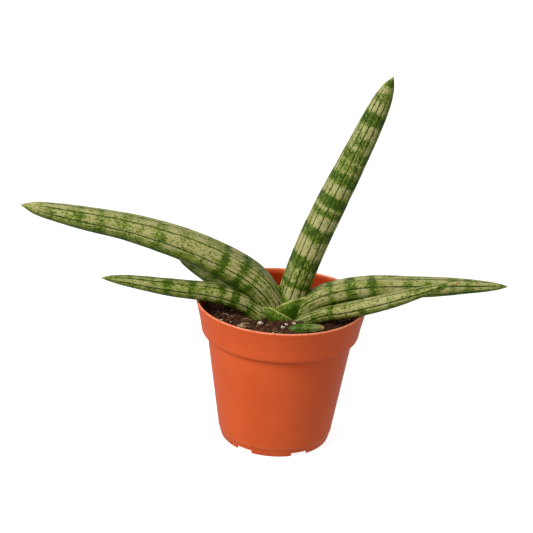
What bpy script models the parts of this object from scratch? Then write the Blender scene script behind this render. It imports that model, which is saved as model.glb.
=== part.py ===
"""A young cylindrical snake plant in a round plastic nursery pot.

Metres, +Z up. The origin is the centre of the pot's underside and the pot stands on z = 0. The
fan of leaves spreads along X: the right-hand leaves point to +X and the open front is -Y.
Lengths in the tables below are millimetres and angles are degrees.
"""

import math

import bmesh
import bpy
from mathutils import Matrix, Vector, noise

MM = 0.001
MERGE = 1e-5
GAP = 0.3 * MM

# Pot, outside: a cone with a wider, more flared collar band at the top.
POT_HEIGHT = 91.0
RIM_RADIUS = 52.5
COLLAR_FOOT_Z = 70.3
COLLAR_FOOT_RADIUS = 48.4
BODY_TOP_RADIUS = 45.2
CREASE_Z = 5.6
CREASE_RADIUS = 35.7
FOOT_RADIUS = 34.2
WALL = 1.2
POT_STEPS = 48

# Pot, underside: a flat centre disc and a foot ring, with a raised channel between them.
CHANNEL_Z = 2.5
DISC_RADIUS = 21.0
DISC_THICKNESS = 1.6
FLOOR_TOP_Z = 4.0
DRAIN_COUNT = 6
DRAIN_FIRST_ANGLE = -62.0
DRAIN_WIDTH = 11.0
SLOT_COUNT = 3
SLOT_FIRST_ANGLE = -138.0
SLOT_WIDTH = 2.4

# Potting mix: its surface lies below the rim and is a little higher around the plant.
SOIL_EDGE_Z = 80.4
SOIL_CENTRE_Z = 81.8
SOIL_EDGE_RADIUS = 48.3

# Leaves. A leaf starts at its root point, and its centre line is a chain of four equal arcs.
# "rise" is the angle above the horizontal at the five ends of those arcs, and "heading" the
# plan direction at the root and at the tip, counter-clockwise from +X. "half_widths" are the
# radii at LEAF_STATIONS along the length. Each leaf clasps those listed before it.
ROOT_Z = 74.0
LEAF_STATIONS = (0.0, 0.1, 0.2, 0.35, 0.5, 0.65, 0.8, 0.9, 0.96, 1.0)
LEAVES = {
    "leaf_upright": {
        "root": (0.0, 0.0, ROOT_Z),
        "length": 167.0,
        "rise": (75, 71, 66, 67, 69),
        "heading": (20, 10),
        "half_widths": (7.0, 9.2, 9.9, 10.0, 9.7, 8.7, 7.6, 6.1, 4.0, 0.7),
    },
    "leaf_left_upper": {
        "root": (0.0, 0.0, ROOT_Z),
        "length": 183.0,
        "rise": (78, 29, 17, 9, 11),
        "heading": (182, 184),
        "half_widths": (7.5, 9.8, 11.2, 10.9, 10.1, 8.8, 7.2, 5.5, 3.7, 0.7),
    },
    "leaf_right_upper": {
        "root": (5.0, 0.0, ROOT_Z),
        "length": 142.0,
        "rise": (66, 19, 3, 4, 1),
        "heading": (-2, 2),
        "half_widths": (8.5, 8.5, 8.3, 8.2, 7.6, 6.7, 5.2, 3.6, 2.3, 0.6),
    },
    "leaf_left_lower": {
        "root": (-6.0, -3.5, ROOT_Z),
        "length": 112.0,
        "rise": (60, 23, 5, 9, 4),
        "heading": (192, 184),
        "half_widths": (9.0, 7.8, 6.5, 6.8, 6.2, 5.6, 4.4, 3.1, 1.9, 0.5),
    },
    "leaf_right_lower": {
        "root": (9.0, -4.0, ROOT_Z),
        "length": 111.0,
        "rise": (48, 20, 25, 26, 25),
        "heading": (-22, -18),
        "half_widths": (8.0, 6.6, 5.3, 5.6, 5.4, 4.7, 3.3, 2.0, 1.1, 0.5),
    },
    "leaf_left_rear": {
        "root": (-9.0, 3.0, ROOT_Z),
        "length": 72.0,
        "rise": (55, 30, 22, 18, 16),
        "heading": (156, 154),
        "half_widths": (7.5, 7.5, 7.4, 7.6, 7.4, 7.0, 6.2, 5.0, 3.4, 0.6),
    },
    "leaf_young": {
        "root": (5.2, -22.3, 80.0),
        "length": 20.8,
        "rise": (30, 14, 7, 4, 3),
        "heading": (-10, 2),
        "half_widths": (2.0, 2.8, 3.3, 3.5, 3.4, 3.1, 2.7, 2.3, 2.0, 1.4),
    },
}
LEAF_RINGS = 16
LEAF_SIDES = 16
CHANNEL_DEPTH = 0.34

# Rhizome and roots, below the leaves and inside the potting mix.
RHIZOME_PATH = ((-20, 5, 55), (-11, 3, 62), (0, 0, 66), (10, -6, 64), (12, -17, 68), (5, -22, 74))
RHIZOME_RADII = (3.5, 7.0, 8.5, 6.5, 3.8, 2.6)
ROOT_COUNT = 6
ROOT_RADIUS = 1.3
ROOT_REACH = 30.0
ROOT_DEPTH = 42.0

# Loose pieces on the potting mix: (x, y, size, seed).
PERLITE = ((3.4, -17.8, 1.1, 1), (1.4, -21.6, 0.9, 2), (-36.0, -15.0, 0.9, 3), (-12.5, -18.0, 1.3, 4),
           (8.4, -15.2, 0.8, 5), (-4.0, -31.0, 0.8, 6))
BARK_CURL_AT = (-22.0, -22.5)
BARK_CURL_RADIUS = 2.3
BARK_CURL_THICKNESS = 0.45


def make_collection(name):
    collection = bpy.data.collections.new(name)
    bpy.context.scene.collection.children.link(collection)
    return collection


def make_material(name, colour, roughness):
    material = bpy.data.materials.new(name)
    material.use_nodes = True
    shader = material.node_tree.nodes["Principled BSDF"]
    shader.inputs["Base Color"].default_value = (*colour, 1.0)
    shader.inputs["Roughness"].default_value = roughness
    shader.inputs["Metallic"].default_value = 0.0
    return material


def add_object(name, mesh, collection, material=None, sharp_angle=40.0):
    thing = bpy.data.objects.new(name, mesh)
    collection.objects.link(thing)
    if material is not None:
        mesh.materials.append(material)
    mesh.shade_smooth()
    mesh.set_sharp_from_angle(angle=math.radians(sharp_angle))
    return thing


def add_cutter(name, mesh, collection):
    cutter = add_object(name, mesh, collection)
    cutter.hide_render = True
    cutter.display_type = "WIRE"
    return cutter


def cut(thing, cutters):
    """Takes every cutter in a list of objects out of the thing, one Boolean each."""
    for cutter in cutters:
        modifier = thing.modifiers.new("Cut " + cutter.name, "BOOLEAN")
        modifier.operation = "DIFFERENCE"
        modifier.solver = "EXACT"
        modifier.object = cutter


def turn(name, profile, collection, material, steps):
    """Turns (radius, height) points in millimetres about Z with a Screw modifier."""
    mesh = bpy.data.meshes.new(name)
    points = [(radius * MM, 0.0, z * MM) for radius, z in profile]
    mesh.from_pydata(points, [(i, i + 1) for i in range(len(points) - 1)], [])
    thing = add_object(name, mesh, collection, material)
    screw = thing.modifiers.new("Turn", "SCREW")
    screw.steps = steps
    screw.render_steps = steps
    screw.use_merge_vertices = True
    screw.merge_threshold = MERGE
    screw.use_smooth_shade = True
    return thing


def arc(centre, radius, start, end, count):
    """Points on an arc in the (radius, height) plane, from one angle to the other in degrees."""
    angles = [math.radians(start + (end - start) * i / count) for i in range(count + 1)]
    return [(centre[0] + radius * math.cos(a), centre[1] + radius * math.sin(a)) for a in angles]


def pot_inside():
    """The inner wall from the middle of the floor up to the lip."""
    disc_top = [(0.0, DISC_THICKNESS), (DISC_RADIUS, DISC_THICKNESS), (DISC_RADIUS + 3.0, FLOOR_TOP_Z)]
    corner = arc((CREASE_RADIUS - WALL - 2.5, FLOOR_TOP_Z + 2.5), 2.5, -90.0, 0.0, 3)
    collar = [
        (BODY_TOP_RADIUS - WALL, COLLAR_FOOT_Z - 0.3),
        (COLLAR_FOOT_RADIUS - WALL, COLLAR_FOOT_Z + 1.6),
        (COLLAR_FOOT_RADIUS - WALL + 1.0, COLLAR_FOOT_Z + 6.0),
    ]
    return disc_top + corner + collar


def pot_profile():
    """The whole section: up the inside, over the lip and down the outside to the middle."""
    lip = [
        (RIM_RADIUS - WALL - 0.4, POT_HEIGHT - 0.9),
        (RIM_RADIUS - WALL, POT_HEIGHT - 0.25),
        (RIM_RADIUS - 0.8, POT_HEIGHT),
        (RIM_RADIUS - 0.2, POT_HEIGHT - 0.2),
        (RIM_RADIUS, POT_HEIGHT - 0.8),
        (RIM_RADIUS - 0.3, POT_HEIGHT - 1.7),
    ]
    collar = [
        (COLLAR_FOOT_RADIUS + 1.3, COLLAR_FOOT_Z + 7.5),
        (COLLAR_FOOT_RADIUS + 0.4, COLLAR_FOOT_Z + 2.0),
        (COLLAR_FOOT_RADIUS, COLLAR_FOOT_Z + 0.6),
        (COLLAR_FOOT_RADIUS - 0.7, COLLAR_FOOT_Z),
        (BODY_TOP_RADIUS + 0.2, COLLAR_FOOT_Z - 0.1),
        (BODY_TOP_RADIUS, COLLAR_FOOT_Z - 0.6),
    ]
    foot = [
        (CREASE_RADIUS, CREASE_Z),
        (CREASE_RADIUS - 0.5, CREASE_Z - 0.5),
        (FOOT_RADIUS + 0.5, CREASE_Z * 0.4),
        (FOOT_RADIUS, 0.5),
        (FOOT_RADIUS - 0.4, 0.0),
        (FOOT_RADIUS - WALL, 0.0),
        (FOOT_RADIUS - WALL, CHANNEL_Z),
        (DISC_RADIUS + 3.6, CHANNEL_Z),
        (DISC_RADIUS + 0.6, 0.0),
        (0.0, 0.0),
    ]
    return pot_inside() + lip + collar + foot


def box_mesh(name, size, centre, angle):
    """A box of the size in millimetres, its centre given at angle 0, turned about Z."""
    mesh = bpy.data.meshes.new(name)
    box = bmesh.new()
    bmesh.ops.create_cube(box, size=1.0)
    bmesh.ops.scale(box, vec=Vector(size) * MM, verts=box.verts)
    bmesh.ops.translate(box, vec=Vector(centre) * MM, verts=box.verts)
    bmesh.ops.rotate(box, cent=(0, 0, 0), matrix=Matrix.Rotation(math.radians(angle), 3, "Z"),
                     verts=box.verts)
    box.to_mesh(mesh)
    box.free()
    return mesh


def build_pot(parts, cutters):
    plastic = make_material("terracotta_plastic", (0.62, 0.13, 0.045), 0.45)
    pot = turn("pot", pot_profile(), parts, plastic, POT_STEPS)
    tools = []
    for i in range(DRAIN_COUNT):
        angle = DRAIN_FIRST_ANGLE + i * 360.0 / DRAIN_COUNT
        notch = box_mesh(f"notch_{i + 1}", (10.0, DRAIN_WIDTH, 4.0), (FOOT_RADIUS, 0.0, 0.45), angle)
        hole = box_mesh(f"hole_{i + 1}", (4.5, DRAIN_WIDTH - 2.0, 6.0), (28.5, 0.0, 3.0), angle)
        tools.append(add_cutter(f"notch_{i + 1}", notch, cutters))
        tools.append(add_cutter(f"hole_{i + 1}", hole, cutters))
    for i in range(SLOT_COUNT):
        angle = SLOT_FIRST_ANGLE + i * 360.0 / SLOT_COUNT
        slot = box_mesh(f"slot_{i + 1}", (6.0, SLOT_WIDTH, 2.0), (FOOT_RADIUS, 0.0, 1.4), angle)
        tools.append(add_cutter(f"slot_{i + 1}", slot, cutters))
    cut(pot, tools)
    return pot


def smooth_value(stations, values, at):
    """Catmull-Rom through the values, held within each pair of neighbours."""
    i = 0
    while i < len(stations) - 2 and at > stations[i + 1]:
        i += 1
    span = stations[i + 1] - stations[i]
    t = (at - stations[i]) / span

    def slope(k):
        if k in (0, len(stations) - 1):
            near = 1 if k == 0 else k
            return (values[near] - values[near - 1]) / (stations[near] - stations[near - 1])
        return (values[k + 1] - values[k - 1]) / (stations[k + 1] - stations[k - 1])

    rise = values[i] * (2 * t**3 - 3 * t**2 + 1) + values[i + 1] * (3 * t**2 - 2 * t**3)
    lean = slope(i) * span * (t**3 - 2 * t**2 + t) + slope(i + 1) * span * (t**3 - t**2)
    low, high = sorted((values[i], values[i + 1]))
    return min(max(rise + lean, low), high)


def between(values, at):
    """A value a fraction of the way along an evenly spaced list, in straight steps."""
    place = at * (len(values) - 1)
    i = min(int(place), len(values) - 2)
    return values[i] + (values[i + 1] - values[i]) * (place - i)


def leaf_direction(leaf, at):
    rise = math.radians(between(leaf["rise"], at))
    heading = math.radians(between(leaf["heading"], at))
    flat = math.cos(rise)
    return Vector((flat * math.cos(heading), flat * math.sin(heading), math.sin(rise)))


def leaf_frame(leaf, at):
    """Unit vectors across the leaf: to its side, and to the upper face that has the channel."""
    heading = math.radians(between(leaf["heading"], at))
    side = Vector((-math.sin(heading), math.cos(heading), 0.0))
    upper = leaf_direction(leaf, at).cross(side)
    if upper.z < 0.0:
        upper.negate()
    return side, upper


def leaf_centres(leaf, fractions):
    """Points on the centre line, from short steps along the leaf's direction."""
    steps = 400
    point = Vector(leaf["root"])
    track = [point.copy()]
    for i in range(steps):
        point = point + leaf_direction(leaf, (i + 0.5) / steps) * (leaf["length"] / steps)
        track.append(point.copy())
    return [track[round(at * steps)] for at in fractions]


def leaf_section(radius, channel, grow, sides):
    """(side, upper) points round a leaf, with the channel pressed into its upper face."""
    points = []
    for i in range(sides):
        angle = 2.0 * math.pi * i / sides
        depth = channel * radius * max(0.0, math.cos(angle)) ** 5
        points.append(((radius + grow) * math.sin(angle), (radius + grow) * math.cos(angle) - depth))
    return points


def leaf_mesh(name, leaf, grow=0.0, extend=0.0):
    """A closed loft through the leaf's sections, grown and extended at the root for a cutter."""
    fractions = [(i / (LEAF_RINGS - 1)) ** 1.15 for i in range(LEAF_RINGS - 3)]
    fractions = [at / fractions[-1] * 0.93 for at in fractions] + [0.96, 0.985, 1.0]
    centres = leaf_centres(leaf, fractions)
    build = bmesh.new()
    rings = []
    for at, centre in zip(fractions, centres):
        side, upper = leaf_frame(leaf, at)
        radius = smooth_value(LEAF_STATIONS, leaf["half_widths"], at)
        channel = CHANNEL_DEPTH * (1.0 - 0.8 * at)
        if at == 0.0:
            centre = centre - leaf_direction(leaf, at) * extend
        if at == 1.0:
            centre = centre + leaf_direction(leaf, at) * grow
        ring = [build.verts.new((centre + side * u + upper * v) * MM)
                for u, v in leaf_section(radius, channel, grow, LEAF_SIDES)]
        rings.append(ring)
    for low, high in zip(rings, rings[1:]):
        for i in range(LEAF_SIDES):
            j = (i + 1) % LEAF_SIDES
            build.faces.new((low[i], low[j], high[j], high[i]))
    build.faces.new(rings[0])
    build.faces.new(rings[-1])
    bmesh.ops.recalc_face_normals(build, faces=build.faces)
    mesh = bpy.data.meshes.new(name)
    build.to_mesh(mesh)
    build.free()
    return mesh


def build_leaves(parts, cutters):
    """The leaves, each cut to clasp the earlier ones, and their grown copies for cutting."""
    leaf_green = make_material("leaf_green", (0.30, 0.38, 0.13), 0.5)
    young_green = make_material("young_leaf_green", (0.09, 0.22, 0.03), 0.4)
    grown = []
    for name, leaf in LEAVES.items():
        colour = young_green if name == "leaf_young" else leaf_green
        thing = add_object(name, leaf_mesh(name, leaf), parts, colour, 60.0)
        if name != "leaf_young":
            cut(thing, grown)
        mesh = leaf_mesh(name + "_space", leaf, grow=GAP / MM, extend=1.5)
        grown.append(add_cutter(name + "_space", mesh, cutters))
    return grown


def tube_mesh(name, points, radii, sides=10):
    """A tube through the points, made as a curve with filled caps and then turned into a mesh."""
    curve = bpy.data.curves.new(name, "CURVE")
    curve.dimensions = "3D"
    curve.bevel_depth = MM
    curve.bevel_resolution = sides // 2 - 2
    curve.use_fill_caps = True
    curve.resolution_u = 2
    spline = curve.splines.new("BEZIER")
    spline.bezier_points.add(len(points) - 1)
    for knot, point, radius in zip(spline.bezier_points, points, radii):
        knot.co = Vector(point) * MM
        knot.radius = radius
        knot.handle_left_type = "AUTO"
        knot.handle_right_type = "AUTO"
    guide = bpy.data.objects.new(name + "_guide", curve)
    bpy.context.scene.collection.objects.link(guide)
    shape = guide.evaluated_get(bpy.context.evaluated_depsgraph_get())
    mesh = bpy.data.meshes.new_from_object(shape)
    bpy.data.objects.remove(guide)
    weld = bmesh.new()
    weld.from_mesh(mesh)
    bmesh.ops.remove_doubles(weld, verts=weld.verts, dist=MERGE)
    bmesh.ops.recalc_face_normals(weld, faces=weld.faces)
    weld.to_mesh(mesh)
    weld.free()
    return mesh


def root_path(i):
    """Where a root runs: out from the rhizome, then down towards the pot's floor."""
    angle = 2.0 * math.pi * (i + 0.35) / ROOT_COUNT
    out = Vector((math.cos(angle), math.sin(angle), 0.0))
    start = Vector((0.0, 0.0, 61.0)) + out * 4.0
    bend = Vector((0.0, 0.0, 54.0)) + out * (0.6 * ROOT_REACH)
    end = Vector((0.0, 0.0, 61.0 - ROOT_DEPTH - 3.0 * (i % 3))) + out * ROOT_REACH
    return start, bend, (bend + end) / 2.0 + out * 4.0, end


def build_rhizome(parts, cutters, leaf_spaces):
    """The rhizome under the leaves with its roots, and the grown copies that clear the soil."""
    skin = make_material("rhizome_skin", (0.55, 0.27, 0.08), 0.7)
    rhizome = add_object("rhizome", tube_mesh("rhizome", RHIZOME_PATH, RHIZOME_RADII, 10), parts, skin)
    cut(rhizome, leaf_spaces)
    wide = [radius + GAP / MM for radius in RHIZOME_RADII]
    space = add_cutter("rhizome_space", tube_mesh("rhizome_space", RHIZOME_PATH, wide, 10), cutters)
    spaces = [space]
    for i in range(ROOT_COUNT):
        name = f"root_{i + 1}"
        path = root_path(i)
        radii = [ROOT_RADIUS * share for share in (1.0, 0.95, 0.8, 0.5)]
        root = add_object(name, tube_mesh(name, path, radii, 6), parts, skin)
        cut(root, [space])
        wide = [radius + GAP / MM for radius in radii]
        end = path[-1] + (path[-1] - path[-2]).normalized() * (GAP / MM)
        mesh = tube_mesh(name + "_space", path[:-1] + (end,), wide, 6)
        spaces.append(add_cutter(name + "_space", mesh, cutters))
    return spaces


def soil_height(radius):
    """The height of the potting mix, from a low edge to a slight mound at the middle."""
    share = min(1.0, radius / SOIL_EDGE_RADIUS)
    return SOIL_CENTRE_Z + (SOIL_EDGE_Z - SOIL_CENTRE_Z) * share * share


def soil_profile():
    """The surface from the middle outwards, then down inside the pot's wall to the floor."""
    surface = [(radius, soil_height(radius)) for radius in (0.0, 16.0, 34.0)]
    surface.append((SOIL_EDGE_RADIUS, SOIL_EDGE_Z))
    wall = [(radius - 0.35, z + 0.35) for radius, z in reversed(pot_inside()[1:])]
    return surface + wall + [(0.0, DISC_THICKNESS + 0.35)]


def granule_mesh(name, at, size, seed, grow=0.0):
    """An irregular grain about the size across, from an icosphere pushed about by noise."""
    mesh = bpy.data.meshes.new(name)
    grain = bmesh.new()
    bmesh.ops.create_icosphere(grain, subdivisions=2, radius=1.0)
    for vertex in grain.verts:
        push = 1.0 + 0.45 * noise.noise(vertex.co * 1.3 + Vector((seed * 7.1, seed * 3.3, 0.0)))
        vertex.co = vertex.co * (push * size + grow) * MM
        vertex.co.z *= 0.8
    bmesh.ops.translate(grain, vec=Vector(at) * MM, verts=grain.verts)
    grain.to_mesh(mesh)
    grain.free()
    return mesh


def build_soil(parts, cutters, spaces):
    """The potting mix, hollowed for what grows in it and for the grains bedded in its surface."""
    brown = make_material("potting_mix", (0.045, 0.022, 0.012), 0.95)
    white = make_material("perlite_white", (0.85, 0.82, 0.76), 0.9)
    soil = turn("potting_mix", soil_profile(), parts, brown, POT_STEPS)
    grain_spaces = []
    for i, (x, y, size, seed) in enumerate(PERLITE):
        name = f"perlite_{i + 1}"
        at = (x, y, soil_height(math.hypot(x, y)) + 0.35 * size)
        add_object(name, granule_mesh(name, at, size, seed), parts, white, 80.0)
        mesh = granule_mesh(name + "_space", at, size, seed, grow=1.4 * GAP / MM)
        grain_spaces.append(add_cutter(name + "_space", mesh, cutters))
    cut(soil, spaces + grain_spaces)
    return soil


def build_bark_curl(parts):
    """A thin curl of bark fibre that lies on the potting mix."""
    fibre = make_material("bark_fibre", (0.50, 0.38, 0.20), 0.85)
    x, y = BARK_CURL_AT
    z = soil_height(math.hypot(x, y)) + BARK_CURL_THICKNESS + GAP / MM + 0.2
    angles = [math.radians(40.0 + 50.0 * i) for i in range(6)]
    points = [(x + 1.5 * BARK_CURL_RADIUS * math.cos(a), y + BARK_CURL_RADIUS * math.sin(a),
               z + 0.5 + 0.5 * math.sin(a)) for a in angles]
    radii = [BARK_CURL_THICKNESS * share for share in (0.6, 1.0, 1.0, 1.0, 0.9, 0.5)]
    add_object("bark_curl", tube_mesh("bark_curl", points, radii, 8), parts, fibre)


def main():
    for thing in list(bpy.data.objects):
        bpy.data.objects.remove(thing)
    parts = make_collection("potted_snake_plant")
    cutters = make_collection("cutters")
    build_pot(parts, cutters)
    leaf_spaces = build_leaves(parts, cutters)
    inner_spaces = build_rhizome(parts, cutters, leaf_spaces)
    build_soil(parts, cutters, leaf_spaces + inner_spaces)
    build_bark_curl(parts)


main()
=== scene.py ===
"""The looks of a potted snake plant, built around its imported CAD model.

Lengths in the tables are millimetres and angles are degrees, in the frame of the CAD model: the
origin is the centre of the pot's underside, +Z is up and the open front of the plant is -Y.
Colours are written as the sRGB numbers that a painter would pick, and turned to linear ones.
"""

import math
import random

import bmesh
import bpy
import numpy as np
from mathutils import Matrix, Vector, noise
from mathutils.bvhtree import BVHTree


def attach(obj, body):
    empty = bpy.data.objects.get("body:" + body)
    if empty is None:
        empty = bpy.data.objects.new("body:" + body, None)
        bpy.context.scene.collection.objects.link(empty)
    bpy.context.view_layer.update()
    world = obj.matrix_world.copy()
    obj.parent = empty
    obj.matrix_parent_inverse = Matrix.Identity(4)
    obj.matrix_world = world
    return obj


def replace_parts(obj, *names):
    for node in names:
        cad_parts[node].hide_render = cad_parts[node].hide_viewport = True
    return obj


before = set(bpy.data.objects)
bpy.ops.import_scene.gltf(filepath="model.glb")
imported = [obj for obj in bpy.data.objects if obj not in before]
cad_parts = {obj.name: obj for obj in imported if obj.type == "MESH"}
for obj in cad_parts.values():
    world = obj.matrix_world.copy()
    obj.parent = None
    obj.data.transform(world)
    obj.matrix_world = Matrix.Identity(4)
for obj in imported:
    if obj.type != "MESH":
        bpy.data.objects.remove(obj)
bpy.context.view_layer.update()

MM = 0.001
UP = Vector((0, 0, 1))
WHITE = (1, 1, 1, 1)

# Camera: where it stands, the point that the middle of its view passes through, and its roll.
CAMERA_AT = (0, -821.65, 437.27)
CAMERA_AIM = (-10.5, 0, 112)
CAMERA_ROLL = 3.044
CAMERA_LENS = 98

# Studio: each light's place and size in metres and its power in watts, how bright the sky is to
# the plant and to the camera, and the floor.
LIGHTS = {
    "key_light": ((-0.98, -0.86, 1.12), 0.8, 25),
    "fill_light": ((0.9, -1.1, 0.7), 1.2, 1.2),
    "back_light": ((-0.3, 1.1, 1.3), 1, 4),
}
LIGHT_AIM = (0, 0, 0.1)
SKY_LIGHT = 0.50
SKY_SEEN = 1.05
FLOOR_REACH = 60
FLOOR_GREY = 0.30
FLOOR_GLOW = 0.86

# Pot (the CAD model's sizes).
POT_HEIGHT = 91
RIM_RADIUS = 52.5
COLLAR_FOOT_Z = 70.3
COLLAR_FOOT_RADIUS = 48.4
BODY_TOP_RADIUS = 45.2
CREASE_Z = 5.6
CREASE_RADIUS = 35.7
FOOT_RADIUS = 34.2
WALL = 1.2
CHANNEL_Z = 2.5
DISC_RADIUS = 21
DISC_THICKNESS = 1.6
FLOOR_TOP_Z = 4
DRAIN_COUNT = 6
DRAIN_FIRST_ANGLE = -62
DRAIN_WIDTH = 11
SLOT_COUNT = 3
SLOT_FIRST_ANGLE = -138
SLOT_WIDTH = 2.4
POT_STEPS = 288

# Potting mix.
SOIL_EDGE_Z = 80.4
SOIL_CENTRE_Z = 81.8
SOIL_EDGE_RADIUS = 48.3

# The CAD model's loose pieces: grains of perlite (x, y, size, seed) and a curl of bark fibre.
PERLITE = ((3.4, -17.8, 1.1, 1), (1.4, -21.6, 0.9, 2), (-36, -15, 0.9, 3), (-12.5, -18, 1.3, 4),
           (8.4, -15.2, 0.8, 5), (-4, -31, 0.8, 6))
BARK_CURL_AT = (-22, -22.5)
BARK_CURL_RADIUS = 2.3

# The mix's smaller loose pieces: how many there are of each, and the circles round the plant's
# base, as (x, y, radius), that they keep clear of.
CRUMB_COUNT = 1000
WALL_CRUMB_COUNT = 70
CHIP_COUNT = 120
FIBRE_COUNT = 26
DUST_COUNT = 40
PLANT_CLEARANCE = ((0, 0, 9), (-8, -1, 9.5), (9, -2, 9))

# Leaves: the CAD model's centre lines and radii.
ROOT_Z = 74
LEAF_STATIONS = (0, 0.1, 0.2, 0.35, 0.5, 0.65, 0.8, 0.9, 0.96, 1)
CHANNEL_DEPTH = 0.34
GAP = 0.3

# What is drawn on each leaf. "lines" are the dark lines along it: how many there are round the
# leaf, and the section angle of the first. "bands" are its dark cross-bands: (place along the
# leaf, half width, strength), as shares of the length. "mottle" is how green the ground between
# them is, at evenly spaced places from the root to the tip. "sheath" is the share of the length
# that is smooth and dark green at the base, "fine" the share with extra fine lines, and "dry" the
# length of the dry tip.
LEAVES = {
    "leaf_upright": dict(
        root=(0, 0, ROOT_Z), length=167, rise=(75, 71, 66, 67, 69), heading=(20, 10),
        half_widths=(7, 9.2, 9.9, 10, 9.7, 8.7, 7.6, 6.1, 4, 0.7), lines=(12, 21),
        bands=((0.174, 0.009, 1), (0.215, 0.016, 0.4), (0.262, 0.024, 0.9), (0.379, 0.023, 1),
               (0.464, 0.01, 0.85), (0.51, 0.018, 1), (0.6, 0.02, 0.75), (0.65, 0.012, 0.3),
               (0.698, 0.018, 0.5), (0.745, 0.012, 0.3), (0.842, 0.022, 1), (0.923, 0.015, 0.45),
               (0.982, 0.014, 0.7)),
        mottle=(0.1, 0.1, 0.55, 0.05, 0.3, 0.05, 0.55, 0.65, 0.4, 0.35, 0.45),
        sheath=0, fine=0, dry=0.7,
    ),
    "leaf_left_upper": dict(
        root=(0, 0, ROOT_Z), length=183, rise=(78, 29, 17, 9, 11), heading=(182, 184),
        half_widths=(7.5, 9.8, 11.2, 10.9, 10.1, 8.8, 7.2, 5.5, 3.7, 0.7), lines=(8, 2),
        bands=((0.2, 0.009, 0.6), (0.247, 0.012, 0.9), (0.32, 0.013, 0.75), (0.385, 0.012, 0.3),
               (0.46, 0.012, 0.12), (0.54, 0.018, 0.26), (0.6, 0.01, 0.12), (0.66, 0.018, 0.24),
               (0.74, 0.015, 0.36), (0.81, 0.011, 0.42), (0.905, 0.012, 0.38)),
        mottle=(0.5, 0.4, 0.3, 0.3, 0.4, 0.45, 0.5, 0.5, 0.5, 0.5, 0.35),
        sheath=0.08, fine=0.44, dry=0.8,
    ),
    "leaf_right_upper": dict(
        root=(5, 0, ROOT_Z), length=142, rise=(66, 19, 3, 4, 1), heading=(-2, 2),
        half_widths=(8.5, 8.5, 8.3, 8.2, 7.6, 6.7, 5.2, 3.6, 2.3, 0.6), lines=(7, 290),
        bands=((0.25, 0.009, 0.85), (0.335, 0.022, 0.72), (0.425, 0.014, 0.85), (0.505, 0.008, 0.15),
               (0.575, 0.018, 0.2), (0.66, 0.012, 0.2), (0.765, 0.017, 0.36), (0.835, 0.02, 0.34),
               (0.985, 0.01, 0.7)),
        mottle=(0.9, 0.85, 0.5, 0.25, 0.3, 0.45, 0.5, 0.5, 0.5, 0.45, 0.5),
        sheath=0.1, fine=0.26, dry=0.4,
    ),
    "leaf_left_lower": dict(
        root=(-6, -3.5, ROOT_Z), length=112, rise=(60, 23, 5, 9, 4), heading=(192, 184),
        half_widths=(9, 7.8, 6.5, 6.8, 6.2, 5.6, 4.4, 3.1, 1.9, 0.5), lines=(7, 42),
        bands=((0.185, 0.016, 1), (0.285, 0.02, 0.95), (0.36, 0.017, 0.85), (0.44, 0.01, 0.45),
               (0.52, 0.02, 0.6), (0.65, 0.02, 0.55), (0.73, 0.012, 0.45), (0.85, 0.014, 0.4),
               (0.965, 0.02, 0.6)),
        mottle=(0.9, 0.8, 0.2, 0.1, 0.4, 0.6, 0.7, 0.75, 0.7, 0.7, 0.7),
        sheath=0.11, fine=0.3, dry=0.9,
    ),
    "leaf_right_lower": dict(
        root=(9, -4, ROOT_Z), length=111, rise=(48, 20, 25, 26, 25), heading=(-22, -18),
        half_widths=(8, 6.6, 5.3, 5.6, 5.4, 4.7, 3.3, 2, 1.1, 0.5), lines=(6, 268),
        bands=((0.16, 0.01, 0.6), (0.265, 0.014, 0.75), (0.36, 0.012, 0.35), (0.45, 0.02, 0.4),
               (0.62, 0.014, 0.3), (0.78, 0.014, 0.35), (0.92, 0.02, 0.5)),
        mottle=(0.8, 0.75, 0.6, 0.4, 0.35, 0.35, 0.4, 0.5, 0.6, 0.7, 0.7),
        sheath=0.08, fine=0.3, dry=2.4,
    ),
    "leaf_left_rear": dict(
        root=(-9, 3, ROOT_Z), length=72, rise=(55, 30, 22, 18, 16), heading=(156, 154),
        half_widths=(7.5, 7.5, 7.4, 7.6, 7.4, 7, 6.2, 5, 3.4, 0.6), lines=(7, 60),
        bands=((0.25, 0.03, 0.6), (0.42, 0.03, 0.5), (0.6, 0.03, 0.4), (0.8, 0.03, 0.4)),
        # Its mottle is higher than on the other leaves, so the whole leaf is greener and darker: partly its
        # own colour and partly painted shade for its place at the back of the plant.
        mottle=(1.2, 1.2, 1.2, 1.1, 1, 1, 0.9, 0.9, 0.9, 0.9, 0.9),
        sheath=0.2, fine=0.3, dry=1.2,
    ),
    "leaf_young": dict(
        root=(5.2, -22.3, 80), length=20.8, rise=(30, 14, 7, 4, 3), heading=(-10, 2),
        half_widths=(2, 2.8, 3.3, 3.5, 3.4, 3.1, 2.7, 2.3, 2, 1.4), lines=(6, 330),
        bands=((0.35, 0.03, 0.3), (0.62, 0.03, 0.3)),
        mottle=(0.4, 0.5, 0.6, 0.7, 0.7, 0.7, 0.7, 0.6, 0.5, 0.5, 0.4),
        sheath=0, fine=0.3, dry=1.1,
    ),
}

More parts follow.
